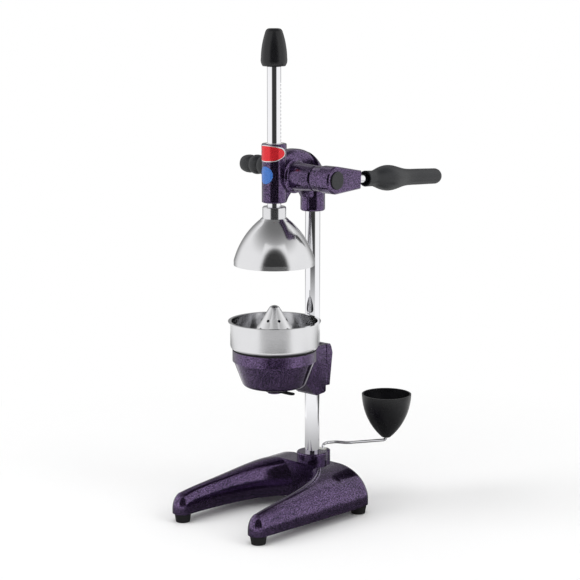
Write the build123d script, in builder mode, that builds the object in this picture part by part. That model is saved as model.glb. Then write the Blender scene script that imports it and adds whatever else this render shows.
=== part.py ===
from build123d import *
import os
from math import acos, asin, cos, pi, radians, sin, sqrt, tan

# A table-top juice press worked by a side lever. A horseshoe base carries a round column. On the
# column sit a bowl with a lift-off strainer cup and, above it, a head. A side lever turns a
# pinion in the head, and the pinion drives the rack of the ram, with the pressing bell, down.
# The column's axis is x = y = 0 and the table top is z = 0. The lever is on the +X side and
# the horseshoe opens towards -Y.

# Fits
running = 0.05
seat = 0.02
body_gap = 0.3

# Main layout. The ram stands off the column by the cup's rim and a gap.
rim_gap = 4.0
column_radius = 10.0
column_foot = 16.0
column_length = 434.0
bar_chamfer = 0.8
ram_radius = 9.0

# Base
foot_height = 12.0
foot_radius = 11.0
foot_draft = 1.7
foot_band = 2.0
foot_screw_radius = 2.0
foot_screw_head = 4.0
foot_screw_head_height = 2.4
front_foot_inset = 22.8
front_foot_y = -179.7
rear_foot_inset = 12.5
rear_foot_y = 4.5
screw_depth = 9.0
hump_front = -26.0
hump_rear = 17.0
hump_flat = 38.0
hump_half = 91.5
hump_top = 61.0
hump_side = 20.0
hump_round = 11.0
boss_radius = 21.0
boss_top = 72.0
boss_round = 2.0
pivot_x = 4.0
pivot_y = 17.0
pivot_lobe = 10.5
pivot_bore_foot = 46.0
pivot_bush_wall = 2.0

# Head, laid out up and down from the pinion's axis, which lies a little above the column's top
pinion_rise = 4.0
clamp_radius = 16.4
clamp_drop = 51.4
clamp_round = 2.5
clamp_dome = 12.0
barrel_radius = 16.2
barrel_drop = 33.3
barrel_rise = 43.2
barrel_round = 1.5
web_half = 11.5
web_round = 8.0
arch_radius = 59.1
arch_y = -41.0
arch_drop = 25.3
tunnel_drop = 21.6
tunnel_flare = 8.0
guide_wall = 2.2
guide_length = 14.5
head_screw_drop = 36.0
base_screw_height = 38.0
set_screw_radius = 3.0
set_screw_sink = 0.8

# Rack and pinion
gear_module = 1.5
pinion_teeth = 24
pressure_angle = 20.0
backlash = 0.12
pinion_width = 12.0
rack_start_drop = 14.0
rack_teeth = 29
bell_tap_depth = 16.0
hub_tap_depth = 14.0
shaft_radius = 7.0
shaft_left = -15.0
shaft_right = 79.0
bush_wall = 2.5
bush_length = 12.0
key_size = 4.0
key_length = 11.0

# Pinion drum and housing
drum_wall = 2.0
drum_end = 16.4
drum_clearance = 0.7
spigot_length = 6.4
housing_flare = 4.6
housing_end = 52.0
housing_radius_in = 18.4
housing_radius_out = 16.5
housing_chamfer = 1.2
left_bush_length = 7.5

# Lever, laid out from the pinion's axis along a line a little below level
lever_droop = 3.75
hub_start = 53.6
hub_face = 87.4
hub_radius = 17.8
hub_chamfer = 1.7
hub_root_radius = 16.5
arm_start = 65.0
arm_end = 49.2
arm_half = 11.6
rod_radius = 5.5
rod_x = 76.0
rod_screw_radius = 2.5
rod_start = 21.0
rod_end = 206.0
recess_radius = 9.8
cap_radius = 11.6
cap_thickness = 1.8
cap_round = 0.8
cap_lip = 2.0
cap_lip_depth = 2.5
arm_round = 3.0
hub_step = 4.0
washer_thickness = 1.5
bolt_depth = 13.0
bolt_head_radius = 5.0
bolt_head_height = 4.0
grip_start = 69.4
grip_end = 226.0
sleeve_bore = 8.7
sleeve_depth = 8.0
sleeve_radius = 10.4
grip_neck = (82.4, 10.2)
grip_profile = [(92.4, 12.2), (112.5, 16.85), (146.6, 11.95), (174.6, 10.75)]
grip_end_radius = 10.5

# Ram and its end pieces, laid out from the pinion's axis too
ram_drop = 51.0
knob_rise = 142.0
knob_height = 47.6
knob_radius = 16.9
knob_flat = 6.5
knob_shoulder = [(9.3, 1.2), (10.9, 3.5)]
knob_side = [(15.0, 19.0), (knob_radius, 37.6)]
knob_foot = [(16.6, 43.6), (14.6, knob_height)]
insert_radius = 8.0
stud_radius = 5.0
stud_length = 22.0
hub_collar_radius = 15.4
hub_collar_drop = 53.7
hub_collar_height = 15.1
bell_wall = 1.5
bell_margin = 3.9
bell_height = 61.3
bell_lip = 5.8
bell_crown_radius = 17.0
bell_neck = (19.2, 2.4)
bell_bulge = (14.3, 37.4)
bell_washer_radius = 11.0
bell_washer_thickness = 1.6
bell_screw_reach = 14.0

# Strainer cup
cup_wall = 1.2
cup_overhang = 2.7
cup_bottom = 227.5
cup_top = 264.4
cup_flange = 2.9
cup_corner = 5.0
cup_spigot_depth = 6.5
cone_inset = 8.1
cone_tip = 285.0
cone_tip_round = 5.0
hole_radius = 2.0
hole_pitch = 13.0
cone_rows = 4
seat_ring = 1.0

# Bowl and bracket
bowl_radius = 55.4
bowl_wall = 3.0
bowl_top = 226.0
band_bottom = 211.6
bowl_step = 1.4
bowl_taper = 11.0
bowl_low = 181.0
bowl_floor = 177.5
outlet_radius = 9.0
outlet_wall = 2.5
outlet_drop = 167.0
bowl_floor_inset = 9.0
bracket_half = 16.5
bracket_top = 221.0
bracket_low = 154.0
cap_split = 10.3
split_chamfer = 1.2
cap_low = 164.5
bracket_round = 3.0
bracket_inset = 6.0
bracket_rise = 12.0
bracket_foot = 4.0
cap_round_rear = 2.0
bracket_screw_x = 13.2
bracket_screw_heights = [176.0, 208.0]
bracket_screw_depth = 9.0
cap_top_y = 20.0
cap_top_drop = 4.0
cap_top_slope = 2.5
cap_wide_y = 22.6
cap_wide_drop = 13.0
cap_waist_y = 18.4
cap_waist_z = 176.0
cap_low_y = 17.0
cap_head_y = 15.0
bracket_screw_radius = 1.5
bracket_screw_head = 2.7
strip_half = 34.5
strip_width = 8.0
strip_thickness = 2.0
strip_top = 171.3
strip_collar = 3.0

# Drip arm and cup, laid out from the pivot along the arm
drip_angle = 59.0
wire_radius = 2.0
wire_height = 77.5
bush_flange = 0.8
bush_flange_rim = 1.2
cup_socket_depth = 8.0
wire_bends = [(9.0, 10.0), (22.0, 10.0), (36.0, 1.0)]
wire_radii = [4.8, 8.0, 10.0, 14.0, 4.4]
drip_wall = 2.0
drip_bottom = 82.0
drip_height = 61.0
drip_radius = 34.0
drip_foot = 6.0
drip_floor = 10.0
drip_outside = (25.6, 26.0)
drip_inside = (27.2, 35.0)
drip_well = 12.9

# Steadying grip
stud_inner = -18.0
stud_outer = -66.0
stud_rise = 10.2
side_boss_radius = 17.0
side_boss_rise = 3.5
side_boss_end = -26.0
grip_stud_radius = 4.0
stud_collar_radius = 9.5
lobe_ends = [-30.0, -44.0, -58.0, -76.5]
lobe_radii = [12.9, 12.9, 11.9]
groove_radius = 11.0
grip_nose = 2.2
grip_nose_radius = 10.0

# What follows from the sizes above
base_bottom = foot_height
front_foot_x = hump_half - front_foot_inset
rear_foot_x = hump_half - rear_foot_inset
bowl_shoulder = bowl_radius - bowl_step
bowl_low_radius = bowl_shoulder - bowl_taper
bowl_floor_radius = bowl_low_radius - bowl_floor_inset
cup_radius = bowl_radius + cup_overhang
cup_flange_radius = cup_radius + cup_flange
spigot_radius = bowl_radius - bowl_wall - body_gap
cone_radius = spigot_radius - cone_inset
bell_radius = cup_radius - cup_wall - bell_margin
reach = cup_flange_radius + rim_gap + column_radius
ram_y = -reach
column_top = column_foot + column_length
pinion_z = column_top + pinion_rise
clamp_bottom = pinion_z - clamp_drop
barrel_bottom = pinion_z - barrel_drop
barrel_top = pinion_z + barrel_rise
arch_z = pinion_z - arch_drop
tunnel_crown = pinion_z - tunnel_drop
head_screw_height = pinion_z - head_screw_drop
ram_bottom = pinion_z - ram_drop
knob_bottom = pinion_z + knob_rise
ram_length = knob_rise + ram_drop
hub_collar_bottom = pinion_z - hub_collar_drop
hub_collar_top = hub_collar_bottom + hub_collar_height
bell_lip_bottom = hub_collar_bottom - bell_height
bell_lip_top = bell_lip_bottom + bell_lip
side_boss_z = pinion_z + side_boss_rise
pitch_radius = gear_module * pinion_teeth / 2
tip_radius = pitch_radius + gear_module
root_radius = pitch_radius - 1.25 * gear_module
rack_pitch_line = 4.75
rack_tip_line = rack_pitch_line + gear_module
pinion_y = ram_y + rack_pitch_line + pitch_radius
stud_y = pinion_y
stud_z = pinion_z + stud_rise
rack_pitch = pi * gear_module
pocket_radius = tip_radius + drum_clearance
drum_radius = pocket_radius + drum_wall
bush_radius = shaft_radius + running + bush_wall
guide_radius = ram_radius + running + guide_wall
pivot_bush_radius = wire_radius + running + pivot_bush_wall
droop_cos = cos(radians(lever_droop))
droop_sin = sin(radians(lever_droop))

# Working planes and axes
ram_plane = Plane(origin=(0, ram_y, 0), x_dir=(1, 0, 0), z_dir=(0, 0, 1))
ram_section = Plane(origin=(0, ram_y, 0), x_dir=(1, 0, 0), z_dir=(0, -1, 0))
ram_axis = Axis((0, ram_y, 0), (0, 0, 1))
pinion_plane = Plane(origin=(0, pinion_y, pinion_z), x_dir=(0, 1, 0), z_dir=(1, 0, 0))
pinion_section = Plane(origin=(0, pinion_y, pinion_z), x_dir=(1, 0, 0), z_dir=(0, -1, 0))
pinion_axis = Axis((0, pinion_y, pinion_z), (1, 0, 0))
lever_plane = Plane(
    origin=(0, pinion_y, pinion_z), x_dir=(0, droop_cos, -droop_sin), z_dir=(1, 0, 0)
)
rod_section = lever_plane.offset(rod_x)
rod_axis = Axis(rod_section.origin, rod_section.x_dir)
rod_screw_spot = rod_section.from_local_coords(((rod_start + arm_end) / 2, 0, 0))
rod_screw_plane = Plane(origin=rod_screw_spot, x_dir=(1, 0, 0), z_dir=-rod_section.y_dir)
stud_section = Plane(origin=(0, stud_y, stud_z), x_dir=(1, 0, 0), z_dir=(0, -1, 0))
stud_axis = Axis((0, stud_y, stud_z), (1, 0, 0))

bracket_screws = [(x, z) for x in (-bracket_screw_x, bracket_screw_x) for z in bracket_screw_heights]
front_feet = [(-front_foot_x, front_foot_y), (front_foot_x, front_foot_y)]
rear_feet = [(-rear_foot_x, rear_foot_y), (rear_foot_x, rear_foot_y)]
feet = front_feet + rear_feet


def dome_middle(radius, rise):
    """Middle of a dome's arc, as its distance from the axis and its drop from the top."""
    ball_radius = (radius**2 + rise**2) / (2 * rise)
    half_angle = asin(radius / ball_radius) / 2
    return (ball_radius * sin(half_angle), ball_radius * (1 - cos(half_angle)))


# Base casting. A leg's section is flat below, upright at the sides and rounded on its back,
# and its ridge moves from the middle at the tip towards the inner side at the hump.
leg_inner = [hump_half - inset for inset in (36.3, 39.5, 48.5, 61.5, 79.5)]
leg_outer = [hump_half - inset for inset in (9.3, 6.0, 3.2, 1.3, 0.0)]
leg_ridge = [front_foot_x] + [hump_half - inset for inset in (26.5, 31.5, 39.5)] + [hump_flat]
leg_top = [40.0, 46.5, 52.5, 57.5, hump_top]
leg_side = [17.0, 18.0, 19.0, 20.0, hump_side]
leg_places = [-180.0, -130.0, -80.0, -48.0, hump_front]
ellipse_pull = 0.5523


def leg_section(index):
    """Section of the +X leg at one of its places."""
    inner = leg_inner[index]
    outer = leg_outer[index]
    ridge = leg_ridge[index]
    top = leg_top[index]
    side = leg_side[index]
    rise = ellipse_pull * (top - side)
    with BuildSketch(Plane.XZ.offset(-leg_places[index])) as section:
        with BuildLine():
            Polyline((inner, side), (inner, base_bottom), (outer, base_bottom), (outer, side))
            Bezier(
                (outer, side),
                (outer, side + rise),
                (ridge + (outer - ridge) * ellipse_pull, top),
                (ridge, top),
            )
            Bezier(
                (ridge, top),
                (ridge + (inner - ridge) * ellipse_pull, top),
                (inner, side + rise),
                (inner, side),
            )
        make_face()
    return section.sketch


with BuildPart() as leg:
    loft(sections=[leg_section(i) for i in range(len(leg_places))])
    with BuildSketch(Plane.XZ.offset(-leg_places[0])):
        add(leg_section(0))
        with Locations((leg_ridge[0] - hump_half / 2, hump_top / 2)):
            Rectangle(hump_half, 2 * hump_top, mode=Mode.SUBTRACT)
    revolve(axis=Axis((leg_ridge[0], leg_places[0], 0), (0, 0, -1)), revolution_arc=180)

with BuildPart() as hump:
    with BuildSketch(Plane.XZ.offset(-hump_front)):
        with BuildLine() as hump_line:
            hump_rise = ellipse_pull * (hump_top - hump_side)
            hump_run = (hump_half - hump_flat) * ellipse_pull
            Line((0, hump_top), (hump_flat, hump_top))
            Bezier(
                (hump_flat, hump_top),
                (hump_flat + hump_run, hump_top),
                (hump_half, hump_side + hump_rise),
                (hump_half, hump_side),
            )
            Polyline((hump_half, hump_side), (hump_half, base_bottom), (0, base_bottom))
            mirror(about=Plane.YZ)
        make_face()
    extrude(amount=-(hump_rear - hump_front))
    rear_edges = hump.faces().sort_by(Axis.Y)[-1].edges()
    fillet(rear_edges.sort_by(Axis.Z)[1:], radius=hump_round)

with BuildPart() as boss:
    with BuildSketch(Plane.XY.offset(hump_side)):
        Circle(boss_radius)
        with Locations((pivot_x, pivot_y)):
            Circle(pivot_lobe)
    extrude(amount=boss_top - hump_side)
    fillet(boss.faces().sort_by(Axis.Z)[-1].edges(), radius=boss_round)

with BuildPart() as base_casting:
    add(leg.part)
    add(hump.part)
    mirror(leg.part, about=Plane.YZ)
    add(boss.part)
    # bores for the column and the drip arm's bush
    with BuildSketch(Plane.XY.offset(column_foot)):
        Circle(column_radius + seat)
    extrude(amount=boss_top, mode=Mode.SUBTRACT)
    with BuildSketch(Plane.XY.offset(pivot_bore_foot)):
        with Locations((pivot_x, pivot_y)):
            Circle(pivot_bush_radius + seat)
    extrude(amount=boss_top, mode=Mode.SUBTRACT)
    # set screw of the column, through the rear
    with BuildSketch(Plane.XZ.offset(-hump_rear - pivot_lobe)):
        with Locations((0, base_screw_height)):
            Circle(set_screw_radius + seat)
    extrude(amount=hump_rear + pivot_lobe - column_radius / 2, mode=Mode.SUBTRACT)
    # screw holes of the feet
    with BuildSketch(Plane.XY.offset(base_bottom)):
        with Locations(*feet):
            Circle(foot_screw_radius + seat)
    extrude(amount=screw_depth + running, mode=Mode.SUBTRACT)

# Rubber feet, drawn in towards the table, with a recess for the screw's head
with BuildPart() as rubber_feet:
    with BuildSketch():
        with Locations(*feet):
            Circle(foot_radius)
            Circle(foot_screw_head + body_gap, mode=Mode.SUBTRACT)
    extrude(amount=foot_height)
    foot_rims = rubber_feet.edges().group_by(Axis.Z)[0].filter_by(
        lambda edge: edge.radius > foot_screw_head + 2 * body_gap
    )
    chamfer(foot_rims, length=foot_height - foot_band, length2=foot_draft)
    with BuildSketch(Plane.XY.offset(foot_height / 2)):
        with Locations(*feet):
            Circle(foot_screw_head + body_gap)
            Circle(foot_screw_radius + seat, mode=Mode.SUBTRACT)
    extrude(amount=foot_height / 2)

with BuildPart() as foot_screws:
    with BuildSketch(Plane.XY.offset(foot_height / 2)):
        with Locations(*feet):
            Circle(foot_screw_radius)
    extrude(amount=foot_height / 2 + screw_depth)
    with BuildSketch(Plane.XY.offset(foot_height / 2)):
        with Locations(*feet):
            Circle(foot_screw_head)
    extrude(amount=-foot_screw_head_height)

# Column
with BuildPart() as column:
    with BuildSketch(Plane.XY.offset(column_foot)):
        Circle(column_radius)
    extrude(amount=column_length)
    chamfer(column.edges(), length=bar_chamfer)

# Head casting: barrel, arched web and column clamp. The arch is cut from a wheel with a
# rounded rim, and the opening under it flares towards both sides.
with BuildPart() as web_wheel:
    with BuildSketch(Plane.YZ.offset(-web_half)):
        with Locations((arch_y, arch_z)):
            Circle(arch_radius)
    extrude(amount=2 * web_half)
    fillet(web_wheel.edges().filter_by(GeomType.CIRCLE), radius=web_round)

with BuildPart() as clamp_wheel:
    with BuildSketch(Plane.YZ.offset(-clamp_radius)):
        with Locations((arch_y, arch_z)):
            Circle(arch_radius)
    extrude(amount=2 * clamp_radius)
    fillet(clamp_wheel.edges().filter_by(GeomType.CIRCLE), radius=clamp_dome)

tunnel_radius = (reach - barrel_radius - clamp_radius) / 2
tunnel_y = -clamp_radius - tunnel_radius
tunnel_z = tunnel_crown - tunnel_radius
flare_top = tunnel_radius + tunnel_flare
tunnel_section = Plane(origin=(0, tunnel_y, tunnel_z), x_dir=(1, 0, 0), z_dir=(0, -1, 0))
with BuildPart() as head_web:
    with BuildSketch(Plane.YZ.offset(-web_half)):
        with Locations((ram_y, barrel_bottom + barrel_round)):
            Rectangle(reach, 2 * arch_radius, align=(Align.MIN, Align.MIN))
    extrude(amount=2 * web_half)
    add(web_wheel.part, mode=Mode.INTERSECT)
    with BuildSketch(tunnel_section):
        with BuildLine():
            Polyline(
                (web_half, flare_top),
                (web_half + 1, flare_top),
                (web_half + 1, 0),
                (-web_half - 1, 0),
                (-web_half - 1, flare_top),
                (-web_half, flare_top),
            )
            ThreePointArc((-web_half, flare_top), (0, tunnel_radius), (web_half, flare_top))
        make_face()
    revolve(axis=Axis(tunnel_section.origin, (1, 0, 0)), mode=Mode.SUBTRACT)

with BuildPart() as head_clamp:
    with BuildSketch(Plane.XY.offset(clamp_bottom)):
        Circle(clamp_radius)
    extrude(amount=arch_z - clamp_bottom)
    fillet(head_clamp.edges().sort_by(Axis.Z)[0], radius=clamp_round)

with BuildPart() as clamp_top:
    with BuildSketch(Plane.XY.offset(arch_z)):
        Circle(clamp_radius)
    extrude(amount=arch_radius)
    add(clamp_wheel.part, mode=Mode.INTERSECT)

with BuildPart() as head_barrel:
    with BuildSketch(ram_plane.offset(barrel_bottom)):
        Circle(barrel_radius)
    extrude(amount=barrel_top - barrel_bottom)
    fillet(head_barrel.edges(), radius=barrel_round)

with BuildPart() as head_casting:
    add(head_web.part)
    add(head_clamp.part)
    add(clamp_top.part)
    add(head_barrel.part)
    # drum for the pinion, on the lever's side
    with BuildSketch(pinion_plane):
        Circle(drum_radius)
    extrude(amount=drum_end)
    # boss for the shaft's blind bush and the steadying grip, on the other side
    with BuildSketch(Plane.YZ):
        with Locations((stud_y, side_boss_z)):
            Circle(side_boss_radius)
    extrude(amount=side_boss_end)
    # pocket of the pinion
    with BuildSketch(pinion_plane.offset(-pinion_width / 2 - drum_clearance)):
        Circle(pocket_radius)
    extrude(amount=drum_end + pinion_width, mode=Mode.SUBTRACT)
    # blind bore of the left bush
    with BuildSketch(pinion_plane.offset(shaft_left - drum_clearance)):
        Circle(bush_radius + seat)
    extrude(amount=pinion_width, mode=Mode.SUBTRACT)
    # bore of the barrel, wider at both ends for the ram's guides
    with BuildSketch(ram_plane.offset(barrel_bottom)):
        Circle(ram_radius + 2 * body_gap)
    extrude(amount=barrel_top - barrel_bottom, mode=Mode.SUBTRACT)
    with BuildSketch(ram_plane.offset(barrel_bottom)):
        Circle(guide_radius + seat)
    extrude(amount=guide_length, mode=Mode.SUBTRACT)
    with BuildSketch(ram_plane.offset(barrel_top)):
        Circle(guide_radius + seat)
    extrude(amount=-guide_length, mode=Mode.SUBTRACT)
    # blind bore for the column, and its set screw
    with BuildSketch(Plane.XY.offset(clamp_bottom)):
        Circle(column_radius + seat)
    extrude(amount=column_top + body_gap - clamp_bottom, mode=Mode.SUBTRACT)
    with BuildSketch(Plane.XZ.offset(-clamp_radius - 1)):
        with Locations((0, head_screw_height)):
            Circle(set_screw_radius + seat)
    extrude(amount=clamp_radius + 1 - column_radius / 2, mode=Mode.SUBTRACT)
    # bore for the grip's stud
    with BuildSketch(Plane.YZ.offset(stud_inner)):
        with Locations((stud_y, stud_z)):
            Circle(grip_stud_radius + seat)
    extrude(amount=side_boss_end - stud_inner, mode=Mode.SUBTRACT)

# Set screws of the base and the head, with hexagon sockets
with BuildPart() as column_set_screws:
    for face, height in ((clamp_radius, head_screw_height), (hump_rear, base_screw_height)):
        with BuildSketch(Plane.XZ.offset(-face + set_screw_sink)):
            with Locations((0, height)):
                Circle(set_screw_radius)
        extrude(amount=face - set_screw_sink - column_radius)
        with BuildSketch(Plane.XZ.offset(-face + set_screw_sink)):
            with Locations((0, height)):
                RegularPolygon(set_screw_radius / 2, 6)
        extrude(amount=set_screw_radius, mode=Mode.SUBTRACT)

# Guides of the ram, one at each end of the barrel
with BuildPart() as ram_guides:
    with BuildSketch(ram_plane.offset(barrel_bottom)):
        Circle(guide_radius)
        Circle(ram_radius + running, mode=Mode.SUBTRACT)
    extrude(amount=guide_length)
    with BuildSketch(ram_plane.offset(barrel_top)):
        Circle(guide_radius)
        Circle(ram_radius + running, mode=Mode.SUBTRACT)
    extrude(amount=-guide_length)

# Ram with its rack. The gaps between the teeth are cut across a flat on the rear side.
rack_half_gap = rack_pitch / 4 + backlash / 2
rack_flare = gear_module * tan(radians(pressure_angle))
root_flare = 1.25 * gear_module * tan(radians(pressure_angle))
with BuildPart() as ram_bar:
    with BuildSketch(ram_plane.offset(ram_bottom)):
        Circle(ram_radius)
    extrude(amount=ram_length)
    chamfer(ram_bar.edges(), length=bar_chamfer)
    with BuildSketch(Plane.XY.offset(knob_bottom)):
        with Locations((0, ram_y)):
            Circle(stud_radius)
    extrude(amount=stud_length)
    rack_tooth_count_below = round(rack_start_drop / rack_pitch)
    rack_bottom = pinion_z - (rack_tooth_count_below + 0.5) * rack_pitch
    with BuildSketch(Plane.YZ):
        with Locations((ram_y + rack_tip_line, rack_bottom + rack_teeth * rack_pitch / 2)):
            Rectangle(
                ram_radius, rack_teeth * rack_pitch + 2 * rack_flare, align=(Align.MIN, Align.CENTER)
            )
        for tooth in range(rack_teeth + 1):
            gap_z = rack_bottom + tooth * rack_pitch
            with Locations((ram_y + rack_pitch_line, gap_z)):
                Polygon(
                    (gear_module, -rack_half_gap - rack_flare),
                    (gear_module, rack_half_gap + rack_flare),
                    (-1.25 * gear_module, rack_half_gap - root_flare),
                    (-1.25 * gear_module, -rack_half_gap + root_flare),
                    align=None,
                )
    extrude(amount=ram_radius + 1, both=True, mode=Mode.SUBTRACT)
    # threaded hole of the bell's screw
    with BuildSketch(ram_plane.offset(ram_bottom)):
        Circle(set_screw_radius + seat)
    extrude(amount=bell_tap_depth, mode=Mode.SUBTRACT)


# Pinion with involute teeth. A gap faces the rack at rest.
def involute_point(radius, tooth_angle, side):
    """Point of a tooth's flank at a radius, for side -1 or +1 of a tooth's centre line."""
    base_radius = pitch_radius * cos(radians(pressure_angle))
    pitch_roll = tan(radians(pressure_angle)) - radians(pressure_angle)
    roll_angle = acos(min(1.0, base_radius / radius))
    roll = tan(roll_angle) - roll_angle
    half_tooth = pi / (2 * pinion_teeth) - backlash / (2 * pitch_radius)
    angle = radians(tooth_angle) + side * (half_tooth + pitch_roll - roll)
    return (radius * cos(angle), radius * sin(angle))


def root_point(tooth_angle, side):
    """Foot of a tooth's flank on the root circle, straight in from the base circle."""
    foot = involute_point(pitch_radius * cos(radians(pressure_angle)), tooth_angle, side)
    length = sqrt(foot[0] ** 2 + foot[1] ** 2)
    return (foot[0] * root_radius / length, foot[1] * root_radius / length)


tooth_step = 360.0 / pinion_teeth
base_circle = pitch_radius * cos(radians(pressure_angle))
with BuildPart() as pinion:
    with BuildSketch(pinion_plane.offset(-pinion_width / 2)):
        Circle(root_radius + 0.05)
        for tooth in range(pinion_teeth):
            turn = 180.0 + (tooth + 0.5) * tooth_step
            with BuildLine():
                for side in (-1, 1):
                    foot = root_point(turn, side)
                    low = involute_point(base_circle, turn, side)
                    middle = involute_point((base_circle + tip_radius) / 2, turn, side)
                    high = involute_point(tip_radius, turn, side)
                    Line(foot, low)
                    ThreePointArc(low, middle, high)
                tips = [involute_point(tip_radius, turn, side) for side in (-1, 1)]
                crown = (tip_radius * cos(radians(turn)), tip_radius * sin(radians(turn)))
                ThreePointArc(tips[0], crown, tips[1])
                Line(root_point(turn, -1), root_point(turn, 1))
            make_face()
        Circle(shaft_radius + seat, mode=Mode.SUBTRACT)
        with Locations((0, shaft_radius)):
            Rectangle(key_size + 2 * seat, key_size + 2 * seat, mode=Mode.SUBTRACT)
    extrude(amount=pinion_width)

# Pinion shaft with two keyways
hub_key_start = (hub_start + shaft_right - key_length) / 2
key_starts = [-key_length / 2, hub_key_start]
with BuildPart() as pinion_shaft:
    with BuildSketch(pinion_plane.offset(shaft_left)):
        Circle(shaft_radius)
    extrude(amount=shaft_right - shaft_left)
    chamfer(pinion_shaft.edges(), length=bar_chamfer)
    for start in key_starts:
        with BuildSketch(pinion_plane.offset(start)):
            with Locations((0, shaft_radius)):
                Rectangle(key_size + 2 * seat, key_size + 2 * seat)
        extrude(amount=key_length + seat, mode=Mode.SUBTRACT)
    with BuildSketch(pinion_plane.offset(shaft_right)):
        Circle(set_screw_radius + seat)
    extrude(amount=-hub_tap_depth, mode=Mode.SUBTRACT)

with BuildPart() as shaft_keys:
    for start in key_starts:
        with BuildSketch(pinion_plane.offset(start)):
            with Locations((0, shaft_radius)):
                Rectangle(key_size, key_size)
        extrude(amount=key_length)

# Housing of the shaft, with a spigot that closes the pinion's pocket
left_bush_start = shaft_left - body_gap
middle_bush_start = drum_end - spigot_length + body_gap
right_bush_start = housing_end - bush_length - body_gap
with BuildPart() as pinion_housing:
    with BuildSketch(pinion_section):
        with BuildLine():
            Polyline(
                (drum_end - spigot_length, bush_radius + seat),
                (drum_end - spigot_length, pocket_radius - seat),
                (drum_end, pocket_radius - seat),
                (drum_end, drum_radius),
            )
            TangentArc(
                (drum_end + housing_flare, housing_radius_in),
                (drum_end, drum_radius),
                tangent=(-1, 0),
            )
            Polyline(
                (drum_end + housing_flare, housing_radius_in),
                (housing_end - housing_chamfer, housing_radius_out),
                (housing_end, housing_radius_out - housing_chamfer),
                (housing_end, bush_radius + seat),
                (drum_end - spigot_length, bush_radius + seat),
            )
        make_face()
    revolve(axis=pinion_axis)

with BuildPart() as shaft_bushes:
    for start, length in (
        (left_bush_start, left_bush_length),
        (middle_bush_start, bush_length),
        (right_bush_start, bush_length),
    ):
        with BuildSketch(pinion_plane.offset(start)):
            Circle(bush_radius)
            Circle(shaft_radius + running, mode=Mode.SUBTRACT)
        extrude(amount=length)

# Lever arm: a hub on the shaft and a tapered arm that holds the rod
with BuildPart() as arm_plate:
    with BuildSketch(lever_plane.offset(arm_start)):
        Circle(hub_radius)
        with Locations((arm_end - 1, 0)):
            Rectangle(2, 2 * arm_half)
        make_hull()
    extrude(amount=hub_face - arm_start)
    chamfer(arm_plate.faces().sort_by(Axis.X)[-1].edges(), length=hub_chamfer)
    fillet(arm_plate.faces().sort_by(Axis.X)[0].edges(), radius=arm_round)

with BuildPart() as lever_arm:
    add(arm_plate.part)
    with BuildSketch(pinion_section):
        with BuildLine():
            Polyline(
                (arm_start + hub_step, 0),
                (hub_start, 0),
                (hub_start, hub_root_radius - housing_chamfer),
                (hub_start + housing_chamfer, hub_root_radius),
                (arm_start + hub_step, hub_radius - 0.6),
                (arm_start + hub_step, 0),
            )
        make_face()
    revolve(axis=pinion_axis)
    with BuildSketch(lever_plane.offset(hub_start)):
        Circle(shaft_radius + seat)
    extrude(amount=shaft_right - hub_start, mode=Mode.SUBTRACT)
    with BuildSketch(pinion_plane.offset(hub_start)):
        with Locations((0, shaft_radius)):
            Rectangle(key_size + 2 * seat, key_size + 2 * seat)
    extrude(amount=shaft_right - hub_start, mode=Mode.SUBTRACT)
    with BuildSketch(lever_plane.offset(shaft_right)):
        Circle(recess_radius)
    extrude(amount=hub_face - shaft_right, mode=Mode.SUBTRACT)
    with BuildSketch(rod_section):
        with Locations(((rod_start + arm_end) / 2 + 1, (rod_radius + seat) / 2)):
            Rectangle(arm_end - rod_start + 2, rod_radius + seat)
    revolve(axis=rod_axis, mode=Mode.SUBTRACT)
    with BuildSketch(rod_screw_plane):
        Circle(rod_screw_radius + seat)
    extrude(amount=hub_radius, mode=Mode.SUBTRACT)

with BuildPart() as hub_washer:
    with BuildSketch(lever_plane.offset(shaft_right + seat)):
        Circle(recess_radius - body_gap)
        Circle(set_screw_radius + body_gap, mode=Mode.SUBTRACT)
    extrude(amount=washer_thickness)

with BuildPart() as hub_bolt:
    with BuildSketch(lever_plane.offset(shaft_right - bolt_depth)):
        Circle(set_screw_radius)
    extrude(amount=bolt_depth + washer_thickness + 2 * seat)
    with BuildSketch(lever_plane.offset(shaft_right + washer_thickness + 2 * seat)):
        RegularPolygon(bolt_head_radius, 6)
    extrude(amount=bolt_head_height)

with BuildPart() as hub_cap:
    with BuildSketch(lever_plane.offset(hub_face)):
        Circle(cap_radius)
    extrude(amount=cap_thickness)
    fillet(hub_cap.edges().sort_by(Axis.X)[-1], radius=cap_round)
    with BuildSketch(lever_plane.offset(hub_face)):
        Circle(recess_radius - seat)
        Circle(recess_radius - cap_lip, mode=Mode.SUBTRACT)
    extrude(amount=-cap_lip_depth)

with BuildPart() as rod_screw:
    with BuildSketch(rod_screw_plane.offset(rod_radius)):
        Circle(rod_screw_radius)
    extrude(amount=arm_half - rod_radius - set_screw_sink)

# Lever rod and its grip, whose near end is an open sleeve
with BuildPart() as lever_rod:
    with BuildSketch(rod_section):
        with Locations(((rod_start + rod_end) / 2, rod_radius / 2)):
            Rectangle(rod_end - rod_start, rod_radius)
    revolve(axis=rod_axis)
    chamfer(lever_rod.edges().filter_by(GeomType.CIRCLE), length=bar_chamfer)

with BuildPart() as lever_grip:
    with BuildSketch(rod_section):
        with BuildLine():
            Polyline((grip_start, sleeve_bore), (grip_start, sleeve_radius), grip_neck)
            Spline(
                grip_neck,
                *grip_profile,
                (grip_end - grip_end_radius, grip_end_radius),
                tangents=((1, 0.02), (1, 0)),
            )
            RadiusArc(
                (grip_end - grip_end_radius, grip_end_radius), (grip_end, 0), grip_end_radius
            )
            Polyline(
                (grip_end, 0),
                (rod_end + 1, 0),
                (rod_end + 1, rod_radius + seat),
                (grip_start + sleeve_depth, rod_radius + seat),
                (grip_start + sleeve_depth, sleeve_bore),
                (grip_start, sleeve_bore),
            )
        make_face()
    revolve(axis=rod_axis)

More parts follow.
